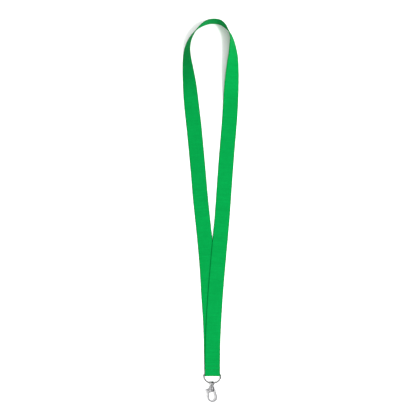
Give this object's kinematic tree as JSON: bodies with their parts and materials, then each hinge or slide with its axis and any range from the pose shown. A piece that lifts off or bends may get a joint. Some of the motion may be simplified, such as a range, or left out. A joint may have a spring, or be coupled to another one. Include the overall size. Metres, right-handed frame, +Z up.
{
  "type": "neck lanyard with swivel hook",
  "caption": "Flat webbing neck lanyard laid out as a long loop, its sewn end round a wire D-ring that carries a swivel trigger hook.",
  "frame": {"origin": "middle of the laid-out lanyard's box, on the surface it lies on", "axes": "+Z up from that surface, +Y from the hook towards the neck loop, +X to the right seen from above"},
  "size_m": [0.0736, 0.4923, 0.0198],
  "materials": {
    "webbing": "woven polyester",
    "thread": "spun thread",
    "ring_wire": "polished nickel plate",
    "cast_nickel": "polished nickel plate",
    "pin_steel": "plain",
    "spring_steel": "plain"
  },
  "bodies": {
    "strap": {"strap_neck_loop": "webbing", "strap_left_upper": "webbing", "strap_left_lower": "webbing", "strap_right_upper": "webbing", "strap_right_lower": "webbing", "strap_end_fold": "webbing", "needle_thread": "thread", "bobbin_thread": "thread"},
    "ring": {"d_ring": "ring_wire"},
    "eye": {"swivel_eye": "cast_nickel"},
    "hook": {"hook_body": "cast_nickel", "gate_pin": "pin_steel", "gate_spring": "spring_steel"},
    "gate": {"gate_lever": "cast_nickel"}
  },
  "joints": [
    {"name": "ring_swing", "type": "hinge", "parent": "strap", "child": "ring", "pos_m": [0.0024, -0.211, 0.0017], "axis": [1, 0, 0], "range_deg": [-90, 90]},
    {"name": "eye_swing", "type": "hinge", "parent": "ring", "child": "eye", "pos_m": [0.0024, -0.2211, 0.0032], "axis": [1, 0, 0], "range_deg": [-80, 80]},
    {"name": "hook_swivel", "type": "hinge", "parent": "eye", "child": "hook", "pos_m": [0.0024, -0.22554, 0.0032], "axis": [0, -1, 0], "continuous": true},
    {"name": "gate_open", "type": "hinge", "parent": "hook", "child": "gate", "pos_m": [-0.0012, -0.23164, 0.0032], "axis": [0, 0, 1], "range_deg": [0, 32], "stiffness_Nm_per_rad": 0.01, "springref_deg": -22.92, "deforming": ["gate_spring"]}
  ]
}
